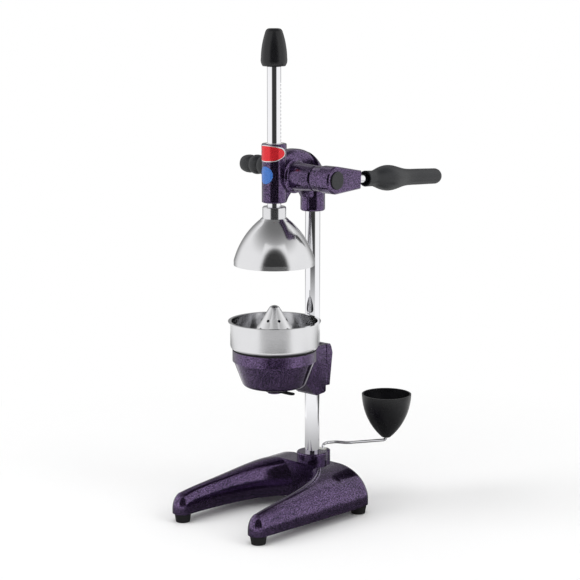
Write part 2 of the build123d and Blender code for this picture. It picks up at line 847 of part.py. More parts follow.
# Knob and its brass insert
with BuildPart() as knob:
    with BuildSketch(ram_section):
        with BuildLine():
            knob_top = knob_bottom + knob_height
            Polyline((0, knob_top), (knob_flat, knob_top))
            arc_start = (knob_flat, 0.0)
            for arc_middle, arc_end in (knob_shoulder, knob_side, knob_foot):
                ThreePointArc(
                    *[(r, knob_top - drop) for r, drop in (arc_start, arc_middle, arc_end)]
                )
                arc_start = arc_end
            Polyline(
                (knob_foot[1][0], knob_bottom),
                (insert_radius + seat, knob_bottom),
                (insert_radius + seat, knob_bottom + stud_length + 1),
                (0, knob_bottom + stud_length + 1),
                (0, knob_top),
            )
        make_face()
    revolve(axis=ram_axis)

with BuildPart() as knob_insert:
    with BuildSketch(ram_plane.offset(knob_bottom)):
        Circle(insert_radius)
        Circle(stud_radius + seat, mode=Mode.SUBTRACT)
    extrude(amount=stud_length + 0.5)
    chamfer(knob_insert.edges().sort_by(Axis.Z)[-1], length=0.6)

# Bell hub, bell, and the screw that holds them on the ram
with BuildPart() as bell_hub:
    with BuildSketch(ram_plane.offset(hub_collar_bottom)):
        Circle(hub_collar_radius)
    extrude(amount=hub_collar_top - hub_collar_bottom)
    chamfer(bell_hub.edges().sort_by(Axis.Z)[-1], length=1.0)
    with BuildSketch(ram_plane.offset(ram_bottom)):
        Circle(ram_radius + seat)
    extrude(amount=hub_collar_top - ram_bottom, mode=Mode.SUBTRACT)
    with BuildSketch(ram_plane.offset(hub_collar_bottom)):
        Circle(set_screw_radius + seat)
    extrude(amount=ram_bottom - hub_collar_bottom, mode=Mode.SUBTRACT)

with BuildPart() as pressing_bell:
    with BuildSketch(ram_section):
        with BuildLine():
            crown = hub_collar_bottom
            neck = (bell_neck[0], crown - bell_neck[1])
            neck_inside = (neck[0] - 0.6 * bell_wall, neck[1] - 0.8 * bell_wall)
            bulge = (bell_radius - bell_bulge[0], bell_lip_bottom + bell_bulge[1])
            bulge_inside = (bulge[0] - 0.78 * bell_wall, bulge[1] - 0.62 * bell_wall)
            Polyline(
                (set_screw_radius + seat, crown - bell_wall),
                (set_screw_radius + seat, crown),
                (bell_crown_radius, crown),
                neck,
            )
            ThreePointArc(neck, bulge, (bell_radius, bell_lip_top))
            Polyline(
                (bell_radius, bell_lip_top),
                (bell_radius, bell_lip_bottom),
                (bell_radius - bell_wall, bell_lip_bottom),
                (bell_radius - bell_wall, bell_lip_top),
            )
            ThreePointArc((bell_radius - bell_wall, bell_lip_top), bulge_inside, neck_inside)
            Polyline(
                neck_inside,
                (bell_crown_radius - 0.4 * bell_wall, crown - bell_wall),
                (set_screw_radius + seat, crown - bell_wall),
            )
        make_face()
    revolve(axis=ram_axis)

bell_washer_top = hub_collar_bottom - bell_wall - seat
bell_screw_seat = bell_washer_top - bell_washer_thickness - seat
with BuildPart() as bell_washer:
    with BuildSketch(ram_plane.offset(bell_washer_top)):
        Circle(bell_washer_radius)
        Circle(set_screw_radius + body_gap, mode=Mode.SUBTRACT)
    extrude(amount=-bell_washer_thickness)

with BuildPart() as bell_screw:
    with BuildSketch(ram_plane.offset(bell_screw_seat)):
        Circle(set_screw_radius)
    extrude(amount=ram_bottom + bell_screw_reach - bell_screw_seat)
    with BuildSketch(ram_plane.offset(bell_screw_seat)):
        RegularPolygon(bolt_head_radius, 6)
    extrude(amount=-bolt_head_height)

# Strainer cup: a pressed wall with a rim, and a spigot that sits in the bowl. A narrow ring
# at its foot carries the cone.
cup_floor = cup_bottom - cup_spigot_depth
with BuildPart() as strainer_cup:
    with BuildSketch(ram_section):
        with BuildLine():
            Polyline(
                (cup_radius - cup_wall, cup_bottom + cup_corner),
                (cup_radius - cup_wall, cup_top),
                (cup_flange_radius, cup_top),
                (cup_flange_radius, cup_top - cup_wall),
                (cup_radius, cup_top - cup_wall),
                (cup_radius, cup_bottom + cup_corner),
            )
            TangentArc(
                (cup_radius, cup_bottom + cup_corner),
                (cup_radius - cup_corner, cup_bottom),
                tangent=(0, -1),
            )
            Polyline(
                (cup_radius - cup_corner, cup_bottom),
                (spigot_radius, cup_bottom),
                (spigot_radius, cup_floor),
                (cone_radius - seat_ring, cup_floor),
                (cone_radius - seat_ring, cup_floor + cup_wall),
                (spigot_radius - cup_wall, cup_floor + cup_wall),
                (spigot_radius - cup_wall, cup_bottom + cup_wall),
                (cup_radius - cup_corner, cup_bottom + cup_wall),
            )
            TangentArc(
                (cup_radius - cup_corner, cup_bottom + cup_wall),
                (cup_radius - cup_wall, cup_bottom + cup_corner),
                tangent=(1, 0),
            )
        make_face()
    revolve(axis=ram_axis)

# Strainer cone: a perforated cone with a domed tip, on a flange that lies on the cup's ring
cone_foot = cup_floor + cup_wall + seat
cone_shoulder = cone_tip - cone_tip_round / 2
cone_taper = (cone_radius - cone_tip_round) / (cone_shoulder - cone_foot)
cone_wall = cup_wall * sqrt(1 + cone_taper**2)
cone_flange_radius = spigot_radius - cup_wall - body_gap


def cone_inside(height):
    """Radius of the cone's hollow side at a height."""
    return cone_radius - (height - cone_foot) * cone_taper


cone_holes = []
for row in range(cone_rows):
    row_height = cone_foot + hole_pitch * (row + 1) / sqrt(1 + cone_taper**2)
    row_radius = cone_inside(row_height)
    row_count = int(2 * pi * row_radius / hole_pitch)
    for place in range(row_count):
        turn = radians((place + (row % 2) / 2) * 360.0 / row_count)
        out = Vector(cos(turn), sin(turn), cone_taper)
        spot = (row_radius * cos(turn), ram_y + row_radius * sin(turn), row_height)
        cone_holes.append(Plane(origin=spot, z_dir=out))

with BuildPart() as strainer_cone:
    with BuildSketch(ram_section):
        with BuildLine():
            Line((cone_radius, cone_foot), (cone_tip_round, cone_shoulder))
            inner_dome = dome_middle(cone_tip_round, cone_tip - cup_wall - cone_shoulder)
            ThreePointArc(
                (cone_tip_round, cone_shoulder),
                (inner_dome[0], cone_tip - cup_wall - inner_dome[1]),
                (0, cone_tip - cup_wall),
            )
            Line((0, cone_tip - cup_wall), (0, cone_tip))
            outer_dome = dome_middle(cone_tip_round + cone_wall, cone_tip - cone_shoulder)
            ThreePointArc(
                (0, cone_tip),
                (outer_dome[0], cone_tip - outer_dome[1]),
                (cone_tip_round + cone_wall, cone_shoulder),
            )
            Polyline(
                (cone_tip_round + cone_wall, cone_shoulder),
                (cone_inside(cone_foot + cup_wall) + cone_wall, cone_foot + cup_wall),
                (cone_flange_radius, cone_foot + cup_wall),
                (cone_flange_radius, cone_foot),
                (cone_radius, cone_foot),
            )
        make_face()
    revolve(axis=ram_axis)
    with Locations(*cone_holes):
        Cylinder(hole_radius, 8 * cup_wall, mode=Mode.SUBTRACT)

# Gasket on the bowl's rim
with BuildPart() as bowl_gasket:
    with BuildSketch(ram_plane.offset(bowl_top)):
        Circle(bowl_radius)
        Circle(bowl_radius - bowl_wall, mode=Mode.SUBTRACT)
    extrude(amount=cup_bottom - bowl_top - seat)

# Bowl with its bracket, which takes the column in an open slot
with BuildPart() as bracket_block:
    with BuildSketch(Plane.YZ.offset(-bracket_half)):
        with BuildLine():
            Polyline(
                (ram_y + bowl_low_radius - bracket_inset, bowl_low + bracket_rise),
                (ram_y + bowl_radius - bracket_foot, bracket_top),
                (cap_split, bracket_top),
                (cap_split, bracket_low + bracket_foot),
                (cap_split - bracket_foot, bracket_low + bracket_foot / 3),
                (-column_radius, bracket_low),
                (-column_radius - bracket_inset, bracket_low + bracket_foot),
                (ram_y + bowl_low_radius - bracket_inset, bowl_low),
                (ram_y + bowl_low_radius - bracket_inset, bowl_low + bracket_rise),
            )
        make_face()
    extrude(amount=2 * bracket_half)
    split_edges = bracket_block.edges().filter_by(Axis.Z)
    chamfer(split_edges.filter_by_position(Axis.Y, cap_split - 1, cap_split + 1), split_chamfer)
    top_edges = bracket_block.edges().filter_by(Axis.Y)
    fillet(top_edges.filter_by_position(Axis.Z, bracket_top - 1, bracket_top + 1), bracket_round)

with BuildPart() as bowl_casting:
    with BuildSketch(ram_section):
        with BuildLine():
            Polyline(
                (outlet_radius - outlet_wall, outlet_drop),
                (outlet_radius, outlet_drop),
                (outlet_radius, bowl_floor),
                (bowl_floor_radius, bowl_floor),
            )
            ThreePointArc(
                (bowl_floor_radius, bowl_floor),
                (bowl_low_radius - 3.0, bowl_floor + 0.8),
                (bowl_low_radius, bowl_low + 1.0),
            )
            Polyline(
                (bowl_low_radius, bowl_low + 1.0),
                (bowl_shoulder, band_bottom),
                (bowl_radius, band_bottom),
                (bowl_radius, bowl_top),
                (0, bowl_top),
                (0, outlet_drop),
                (outlet_radius - outlet_wall, outlet_drop),
            )
        make_face()
    revolve(axis=ram_axis)
    add(bracket_block.part)
    # inside of the bowl, down to the outlet
    with BuildSketch(ram_section):
        with BuildLine():
            Polyline(
                (0, outlet_drop - 1),
                (outlet_radius - outlet_wall, outlet_drop - 1),
                (outlet_radius - outlet_wall, bowl_floor + bowl_wall),
                (bowl_low_radius - bowl_wall - 2, bowl_low + bowl_wall + 1),
                (bowl_shoulder - bowl_wall, band_bottom),
                (bowl_radius - bowl_wall, band_bottom + 2),
                (bowl_radius - bowl_wall, bowl_top + 1),
                (0, bowl_top + 1),
                (0, outlet_drop - 1),
            )
        make_face()
    revolve(axis=ram_axis, mode=Mode.SUBTRACT)
    # bore of the column, and the threaded holes of the cap's screws
    with BuildSketch(Plane.XY.offset(bracket_low - 1)):
        Circle(column_radius + seat)
        with Locations((0, column_radius)):
            Rectangle(2 * (column_radius + seat), 2 * column_radius)
    extrude(amount=bracket_top - bracket_low + 2, mode=Mode.SUBTRACT)
    with BuildSketch(Plane.XZ.offset(-cap_split)):
        with Locations(*bracket_screws):
            Circle(bracket_screw_radius + seat)
    extrude(amount=bracket_screw_depth + body_gap, mode=Mode.SUBTRACT)

# Bracket cap behind the column, waisted below its thick top
with BuildPart() as bracket_cap:
    with BuildSketch(Plane.YZ.offset(-bracket_half)):
        with BuildLine():
            Polyline(
                (cap_split + seat, cap_low),
                (cap_split + seat, bracket_top),
                (cap_top_y - cap_top_slope, bracket_top),
                (cap_top_y, bracket_top - cap_top_drop),
                (cap_wide_y, bracket_top - cap_wide_drop),
                (cap_waist_y, cap_waist_z),
                (cap_low_y, cap_low),
                (cap_split + seat, cap_low),
            )
        make_face()
    extrude(amount=2 * bracket_half)
    cap_rear = bracket_cap.edges().filter_by(Axis.X).sort_by(Axis.Y)[-1]
    fillet(cap_rear, radius=cap_round_rear)
    cap_front = bracket_cap.edges().filter_by(Axis.Z)
    chamfer(cap_front.filter_by_position(Axis.Y, cap_split - 1, cap_split + 1), split_chamfer)
    with BuildSketch(Plane.XY.offset(bracket_low)):
        Circle(column_radius + seat)
    extrude(amount=bracket_top - bracket_low, mode=Mode.SUBTRACT)
    with BuildSketch(Plane.XZ.offset(-cap_split)):
        with Locations(*bracket_screws):
            Circle(bracket_screw_radius + seat)
    extrude(amount=-cap_wide_y, mode=Mode.SUBTRACT)
    with BuildSketch(Plane.XZ.offset(-cap_head_y)):
        with Locations(*bracket_screws):
            Circle(bracket_screw_head + seat)
    extrude(amount=-cap_wide_y, mode=Mode.SUBTRACT)

with BuildPart() as bracket_screw_set:
    with BuildSketch(Plane.XZ.offset(-cap_head_y)):
        with Locations(*bracket_screws):
            Circle(bracket_screw_radius)
    extrude(amount=cap_head_y - cap_split + bracket_screw_depth)
    with BuildSketch(Plane.XZ.offset(-cap_head_y)):
        with Locations(*bracket_screws):
            Circle(bracket_screw_head)
    extrude(amount=-2.5)

# Outlet strip: a ring round the outlet with two arms along X
with BuildPart() as outlet_strip:
    with BuildSketch(ram_plane.offset(strip_top)):
        SlotOverall(2 * strip_half, strip_width)
        Circle(outlet_radius + strip_collar)
        Circle(outlet_radius + seat, mode=Mode.SUBTRACT)
    extrude(amount=-strip_thickness)

# Drip arm: one wire from the pivot, bent round the column's path and up into the cup
arm_plane = Plane(
    origin=(pivot_x, pivot_y, wire_height),
    x_dir=(cos(radians(drip_angle)), sin(radians(drip_angle)), 0),
    z_dir=(0, 0, 1),
)
arm_length = sqrt(pivot_x**2 + (reach + pivot_y) ** 2)
bend_places = [(0.0, 0.0)] + wire_bends + [(arm_length, 0.0)]
wire_route = [Vector(pivot_x, pivot_y, pivot_bore_foot + body_gap)]
wire_route = wire_route + [arm_plane.from_local_coords((u, v, 0)) for u, v in bend_places]
wire_tip = drip_bottom + cup_socket_depth - wire_height
wire_route.append(arm_plane.from_local_coords((arm_length, 0, wire_tip)))
with BuildPart() as drip_wire:
    with BuildLine():
        FilletPolyline(*wire_route, radius=wire_radii)
    with BuildSketch(Plane(origin=wire_route[0], z_dir=(0, 0, 1))):
        Circle(wire_radius)
    sweep()

with BuildPart() as pivot_bush:
    with BuildSketch(Plane.XY.offset(boss_top)):
        with Locations((pivot_x, pivot_y)):
            Circle(pivot_bush_radius)
            Circle(wire_radius + running, mode=Mode.SUBTRACT)
    extrude(amount=pivot_bore_foot + body_gap - boss_top)
    with BuildSketch(Plane.XY.offset(boss_top)):
        with Locations((pivot_x, pivot_y)):
            Circle(pivot_bush_radius + bush_flange_rim)
            Circle(wire_radius + running, mode=Mode.SUBTRACT)
    extrude(amount=bush_flange)

# Drip cup, turned about its own upright axis
cup_centre = arm_plane.from_local_coords((arm_length, 0, -wire_height))
drip_section = Plane(origin=cup_centre, x_dir=(1, 0, 0), z_dir=(0, -1, 0))
drip_axis = Axis(cup_centre, (0, 0, 1))
with BuildPart() as drip_cup:
    with BuildSketch(drip_section):
        with BuildLine():
            drip_top = drip_bottom + drip_height
            drip_well_height = drip_bottom + drip_floor
            Polyline((0, drip_well_height), (0, drip_bottom), (drip_foot, drip_bottom))
            ThreePointArc(
                (drip_foot, drip_bottom),
                (drip_outside[0], drip_bottom + drip_outside[1]),
                (drip_radius, drip_top),
            )
            Line((drip_radius, drip_top), (drip_radius - drip_wall, drip_top))
            ThreePointArc(
                (drip_radius - drip_wall, drip_top),
                (drip_inside[0], drip_bottom + drip_inside[1]),
                (drip_well, drip_well_height),
            )
            Line((drip_well, drip_well_height), (0, drip_well_height))
        make_face()
    revolve(axis=drip_axis)
    with BuildSketch(Plane(origin=cup_centre, z_dir=(0, 0, 1)).offset(drip_bottom)):
        Circle(wire_radius + seat)
    extrude(amount=cup_socket_depth + seat, mode=Mode.SUBTRACT)

# Steadying grip with its lobes, on a stud in the head
with BuildPart() as steadying_grip:
    with BuildSketch(stud_section):
        with BuildLine():
            for lobe, lobe_radius in enumerate(lobe_radii):
                start = lobe_ends[lobe]
                stop = lobe_ends[lobe + 1]
                stop_radius = groove_radius
                if lobe == len(lobe_radii) - 1:
                    stop = stop + grip_nose
                    stop_radius = grip_nose_radius
                ThreePointArc(
                    (start, groove_radius), ((start + stop) / 2, lobe_radius), (stop, stop_radius)
                )
            nose = dome_middle(grip_nose_radius, grip_nose)
            ThreePointArc(
                (stop, stop_radius), (stop - grip_nose + nose[1], nose[0]), (lobe_ends[-1], 0)
            )
            Polyline(
                (lobe_ends[-1], 0),
                (stud_outer - body_gap, 0),
                (stud_outer - body_gap, grip_stud_radius + seat),
                (lobe_ends[0], grip_stud_radius + seat),
                (lobe_ends[0], groove_radius),
            )
        make_face()
    revolve(axis=stud_axis)

with BuildPart() as grip_stud:
    with BuildSketch(Plane.YZ.offset(stud_inner)):
        with Locations((stud_y, stud_z)):
            Circle(grip_stud_radius)
    extrude(amount=stud_outer - stud_inner)
    with BuildSketch(Plane.YZ.offset(side_boss_end)):
        with Locations((stud_y, stud_z)):
            Circle(stud_collar_radius)
    extrude(amount=lobe_ends[0] - side_boss_end)

nodes = {
    "base_casting": base_casting,
    "rubber_feet": rubber_feet,
    "foot_screws": foot_screws,
    "column": column,
    "column_set_screws": column_set_screws,
    "head_casting": head_casting,
    "ram_guides": ram_guides,
    "ram_bar": ram_bar,
    "knob": knob,
    "knob_insert": knob_insert,
    "bell_hub": bell_hub,
    "pressing_bell": pressing_bell,
    "bell_washer": bell_washer,
    "bell_screw": bell_screw,
    "pinion": pinion,
    "pinion_shaft": pinion_shaft,
    "shaft_keys": shaft_keys,
    "pinion_housing": pinion_housing,
    "shaft_bushes": shaft_bushes,
    "lever_arm": lever_arm,
    "hub_washer": hub_washer,
    "hub_bolt": hub_bolt,
    "hub_cap": hub_cap,
    "rod_screw": rod_screw,
    "lever_rod": lever_rod,
    "lever_grip": lever_grip,
    "steadying_grip": steadying_grip,
    "grip_stud": grip_stud,
    "strainer_cup": strainer_cup,
    "strainer_cone": strainer_cone,
    "bowl_gasket": bowl_gasket,
    "bowl_casting": bowl_casting,
    "bracket_cap": bracket_cap,
    "bracket_screws": bracket_screw_set,
    "outlet_strip": outlet_strip,
    "drip_wire": drip_wire,
    "pivot_bush": pivot_bush,
    "drip_cup": drip_cup,
}
os.makedirs("parts", exist_ok=True)
for name, node in nodes.items():
    node.part.label = name
    export_step(node.part, "parts/" + name + ".step")
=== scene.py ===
# %% [markdown]
# # A table-top juice press with a side lever
# The press stands on a horseshoe base of enamelled iron. A chromed column carries a bowl and,
# above it, a head with a rack and pinion that drives a steel bell down when the lever turns.
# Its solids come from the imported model, so this lesson is about finishes: a speckled violet
# enamel, chrome, soft polished steel, black plastics and rubber. A few thin pieces that only
# the eye needs, such as the plate on the barrel, are made here as meshes.

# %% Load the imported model
import math

import bpy
import bmesh
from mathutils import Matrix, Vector


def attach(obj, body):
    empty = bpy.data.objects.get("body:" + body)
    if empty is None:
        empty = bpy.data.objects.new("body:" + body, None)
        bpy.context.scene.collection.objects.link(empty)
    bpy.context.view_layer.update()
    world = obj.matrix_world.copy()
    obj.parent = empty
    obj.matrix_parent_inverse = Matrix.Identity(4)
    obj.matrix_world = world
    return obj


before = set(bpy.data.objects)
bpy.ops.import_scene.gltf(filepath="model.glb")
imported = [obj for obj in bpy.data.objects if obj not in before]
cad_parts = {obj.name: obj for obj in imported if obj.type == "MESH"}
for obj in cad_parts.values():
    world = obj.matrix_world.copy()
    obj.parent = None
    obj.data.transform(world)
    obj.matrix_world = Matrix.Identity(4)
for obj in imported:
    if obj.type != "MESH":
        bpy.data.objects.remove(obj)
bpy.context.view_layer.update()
millimetre = 0.001
print("pieces of the model:", len(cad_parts))

# %% [markdown]
# ## Shader maths as Python expressions
# A finish is a graph of nodes. Linking Math nodes by hand is slow to read, so one small class
# wraps a number socket and gives it Python's operators: `1 - mask * 0.5` adds the two nodes
# that it needs. A second class holds a graph, with one method that adds any other node from
# its type, its settings and its sockets, and a third is a finish, which is a graph with a
# surface shader.


# %% A number socket with Python's operators
class Amount:
    """A number that changes over a surface."""

    def __init__(self, finish, socket):
        self.finish = finish
        self.socket = socket

    def maths(self, operation, first, second=0.0):
        values = {0: first, 1: second}
        return self.finish.node("ShaderNodeMath", {"operation": operation}, values)

    def __add__(self, other):
        return self.maths("ADD", self, other)

    def __sub__(self, other):
        return self.maths("SUBTRACT", self, other)

    def __rsub__(self, other):
        return self.maths("SUBTRACT", other, self)

    def __mul__(self, other):
        return self.maths("MULTIPLY", self, other)

    def __pow__(self, other):
        return self.maths("POWER", self, other)

    def __rpow__(self, other):
        return self.maths("POWER", other, self)

    __radd__ = __add__
    __rmul__ = __mul__


# %% A graph of nodes and its one method for them
class Graph:
    """The nodes of one material or of the world."""

    def __init__(self, tree):
        self.nodes = tree.nodes
        self.links = tree.links

    def node(self, kind, settings, sockets, out=0):
        """Adds a node, applies its settings, then fills its sockets, and returns one output."""
        made = self.nodes.new(kind)
        for key, value in settings.items():
            setattr(made, key, value)
        for key, value in sockets.items():
            self.fill(made.inputs[key], value)
        return Amount(self, made.outputs[out])

    def fill(self, socket, value):
        if isinstance(value, Amount):
            self.links.new(value.socket, socket)
        else:
            socket.default_value = value

    def white_rays(self):
        """One for a camera, mirror or see-through ray, and zero for light on a surface."""
        rays = [self.node("ShaderNodeLightPath", {}, {}, "Is %s Ray" % kind)
                for kind in ("Camera", "Glossy", "Transmission")]
        return rays[0] + rays[1] + rays[2]


# %% A finish: a material with a Principled shader
class Finish(Graph):
    """A material whose constants are set by name on its shader."""

    def __init__(self, name, **constants):
        self.material = bpy.data.materials.new(name)
        self.material.use_nodes = True
        super().__init__(self.material.node_tree)
        self.shader = self.nodes["Principled BSDF"]
        self.output = self.nodes["Material Output"]
        for key, value in constants.items():
            self.shader.inputs[key].default_value = value

    def wear(self, key, value):
        """Feeds one of the shader's own sockets."""
        self.fill(self.shader.inputs[key], value)

    def place(self):
        """The point on the piece, in metres, which stays put when the camera or piece moves."""
        return self.node("ShaderNodeTexCoord", {}, {}, "Object")

    def noise(self, scale, detail=2.0, roughness=0.5, at=None):
        values = {"Vector": at or self.place(), "Scale": scale}
        values.update({"Detail": detail, "Roughness": roughness})
        return self.node("ShaderNodeTexNoise", {}, values, "Fac")

    def mix(self, factor, first, second):
        """A colour between two colours."""
        settings = {"data_type": "RGBA", "clamp_factor": True}
        return self.node("ShaderNodeMix", settings, {0: factor, 6: first, 7: second}, 2)

    def bump(self, height, depth, strength=1.0):
        values = {"Height": height, "Distance": depth, "Strength": strength}
        self.wear("Normal", self.node("ShaderNodeBump", {}, values, "Normal"))

    def dress(self, *names):
        """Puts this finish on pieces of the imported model."""
        for name in names:
            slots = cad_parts[name].data.materials
            slots.clear()
            slots.append(self.material)
        print(self.material.name, "on", len(names), "pieces")


# %% [markdown]
# ## The enamel
# The castings wear a violet enamel with a fine metal grain under a clear coat. Seen close, it
# is a carpet of dots over a millimetre wide, some lighter and some nearly black, and a
# reflection that crosses it has a rough edge. Painting the dots as a picture would stretch them
# on curved castings, so cells and noise in the piece's own space make them. The same cells
# lift the surface a few hundredths of a millimetre, which is what breaks up the reflections.

# %% Violet enamel
clear_coat = {"Coat Weight": 0.5, "Coat Roughness": 0.06, "Coat IOR": 1.4}
enamel = Finish("violet_enamel", **{"Metallic": 0.92, **clear_coat})
grain_size = 1.4 * millimetre
grain_depth = 0.05 * millimetre
grain_cells = enamel.node(
    "ShaderNodeTexVoronoi", {"feature": "F1"},
    {"Vector": enamel.place(), "Scale": 1 / grain_size, "Randomness": 1.0}, "Distance",
)
grain_cloud = enamel.noise(1.0 / grain_size, detail=3.0, roughness=0.7)
broad_cloud = enamel.noise(30.0, detail=2.0)
grain = grain_cloud * 2.3 - grain_cells * 0.8 + broad_cloud * 0.4 - 0.63
deep_violet = (0.012, 0.008, 0.026, 1)
lit_violet = (0.264, 0.167, 0.365, 1)
enamel.wear("Base Color", enamel.mix(grain, deep_violet, lit_violet))
enamel.wear("Roughness", 0.06 + 0.12 * grain_cloud)
enamel.bump(grain_cells * 0.6 + grain_cloud, grain_depth, 0.7)
enamel.dress(
    "base_casting", "head_casting", "pinion_housing", "lever_arm", "bowl_casting", "bracket_cap",
)

# %% [markdown]
# ## Bright metals
# The column, the ram, the lever rod and the drip wire are hard chrome on a ground bar: nearly a
# mirror, with grinding marks that only show as a slight softness. The bell, its collar and the
# strainer cup are spun and polished steel, so their marks run in rings round the axis of the
# ram. A ring is a line of equal height and equal distance from that axis, so noise read from
# those two numbers alone gives rings without any picture.

# %% Chrome
chrome = Finish("hard_chrome", **{"Metallic": 1.0})
smear = chrome.noise(45.0, detail=4.0)
fine_marks = chrome.noise(900.0, detail=2.0)
chrome.wear("Base Color", chrome.mix(smear, (0.86, 0.86, 0.89, 1), (0.93, 0.93, 0.95, 1)))
chrome.wear("Roughness", 0.035 + 0.05 * smear * fine_marks)
chrome.bump(fine_marks, 0.002 * millimetre, 0.3)
chrome.dress("column", "ram_bar", "lever_rod", "drip_wire", "grip_stud")

# %% Spun steel, with marks in rings round the ram
ram_y = -75 * millimetre
steel = Finish("spun_steel", **{"Metallic": 1.0})
split = steel.node("ShaderNodeSeparateXYZ", {}, {"Vector": steel.place()}, "X").socket.node
across, along, height = (Amount(steel, split.outputs[axis]) for axis in "XYZ")
along_ram = along - ram_y
from_axis = (across * across + along_ram * along_ram) ** 0.5
rings = steel.node("ShaderNodeCombineXYZ", {}, {"X": from_axis, "Y": 0.0, "Z": height}, "Vector")
ring_marks = steel.noise(1600.0, detail=3.0, roughness=0.7, at=rings)
steel_cloud = steel.noise(25.0, detail=3.0)
steel.wear("Base Color", steel.mix(steel_cloud, (0.70, 0.70, 0.72, 1), (0.80, 0.80, 0.81, 1)))
steel.wear("Roughness", 0.09 + 0.08 * ring_marks + 0.04 * steel_cloud)
steel.bump(ring_marks, 0.004 * millimetre, 0.5)
steel.dress("bell_hub", "pressing_bell", "strainer_cup", "strainer_cone", "bell_washer", "bell_screw")

# %% Zinc-plated steel for screws and the inner drive
zinc = Finish("zinc_plate", **{"Metallic": 1.0})
zinc_cloud = zinc.noise(300.0, detail=3.0)
zinc.wear("Base Color", zinc.mix(zinc_cloud, (0.45, 0.46, 0.48, 1), (0.66, 0.66, 0.66, 1)))
zinc.wear("Roughness", 0.28 + 0.2 * zinc_cloud)
zinc.bump(zinc.noise(1500.0), 0.01 * millimetre, 0.4)
zinc.dress(
    "foot_screws", "column_set_screws", "bracket_screws", "pinion", "pinion_shaft", "shaft_keys",
    "hub_washer", "hub_bolt", "rod_screw",
)

# %% Bronze of the bushes, which also does for the brass insert inside the knob
bronze = Finish("turned_bronze", **{"Metallic": 1.0})
bronze_cloud = bronze.noise(220.0, detail=3.0)
bronze.wear("Base Color", bronze.mix(bronze_cloud, (0.48, 0.30, 0.12, 1), (0.66, 0.46, 0.22, 1)))
bronze.wear("Roughness", 0.25 + 0.2 * bronze_cloud)
bronze.dress("shaft_bushes", "knob_insert")

# %% [markdown]
# ## Plastics and rubber
# The knob and the drip cup are moulded in a hard glossy plastic. The grips and the hub cap are a
# satin plastic with a fine spark-eroded grain, dark grey where light grazes them. The feet, the
# gasket and the outlet strip are rubber, which is dull and slightly dusty. All three are nearly
# black, so what tells them apart is roughness and grain, not colour.

# %% Glossy knob and drip cup
knob_gloss = Finish("knob_gloss", **{"Specular IOR Level": 0.4})
knob_cloud = knob_gloss.noise(60.0, detail=3.0)
knob_black = knob_gloss.mix(knob_cloud, (0.005, 0.005, 0.006, 1), (0.010, 0.010, 0.012, 1))
knob_gloss.wear("Base Color", knob_black)
knob_gloss.wear("Roughness", 0.22 + 0.12 * knob_cloud)
knob_gloss.bump(knob_gloss.noise(260.0), 0.015 * millimetre, 0.5)
knob_gloss.dress("knob", "drip_cup")

# %% Satin grips and hub cap
satin = Finish("satin_plastic", **{"Specular IOR Level": 0.42})
satin_grain = satin.noise(2200.0, detail=2.0)
satin_cloud = satin.noise(40.0, detail=3.0)
satin.wear("Base Color", satin.mix(satin_cloud, (0.008, 0.009, 0.011, 1), (0.016, 0.017, 0.020, 1)))
satin.wear("Roughness", 0.3 + 0.12 * satin_grain)
satin.bump(satin_grain, 0.02 * millimetre, 0.6)
satin.dress("lever_grip", "steadying_grip", "hub_cap")

# %% Rubber
rubber = Finish("black_rubber", **{"Specular IOR Level": 0.25})
rubber_cloud = rubber.noise(120.0, detail=4.0)
rubber.wear("Base Color", rubber.mix(rubber_cloud, (0.006, 0.006, 0.007, 1), (0.018, 0.017, 0.018, 1)))
rubber.wear("Roughness", 0.6 + 0.25 * rubber_cloud)
rubber.bump(rubber.noise(1400.0), 0.03 * millimetre, 0.5)
rubber.dress("rubber_feet", "bowl_gasket", "outlet_strip")

# %% Nylon of the ram's guides and the drip arm's bush
nylon = Finish("white_nylon", **{"Subsurface Weight": 0.05})
nylon_cloud = nylon.noise(90.0, detail=2.0)
nylon.wear("Base Color", nylon.mix(nylon_cloud, (0.70, 0.69, 0.64, 1), (0.80, 0.79, 0.75, 1)))
nylon.wear("Roughness", 0.4 + 0.15 * nylon_cloud)
nylon.dress("ram_guides", "pivot_bush")

# %% [markdown]
# ## The plate and the sticker on the barrel
# A red oval plate with a silver border is bent round the barrel, and a round blue sticker sits
# below it. Both stay bare here. A flat disc would stand off the round barrel, so each is made
# as rings of points in the flat, then rolled on to the barrel: a distance along the plate
# becomes an angle round the barrel's axis. The border is the outer band of the same sheet, a
# little higher than the red field and with a silver finish of its own.

# %% Roll an oval on to the barrel
barrel_radius = 16.2 * millimetre
oval_corners = 96


def roll_on(flat_x, flat_z, lift, facing):
    """A point of the flat oval, lifted off the barrel and turned to where the oval faces."""
    turn = facing + flat_x / barrel_radius
    far = barrel_radius + lift
    return (far * math.sin(turn), ram_y - far * math.cos(turn), flat_z)


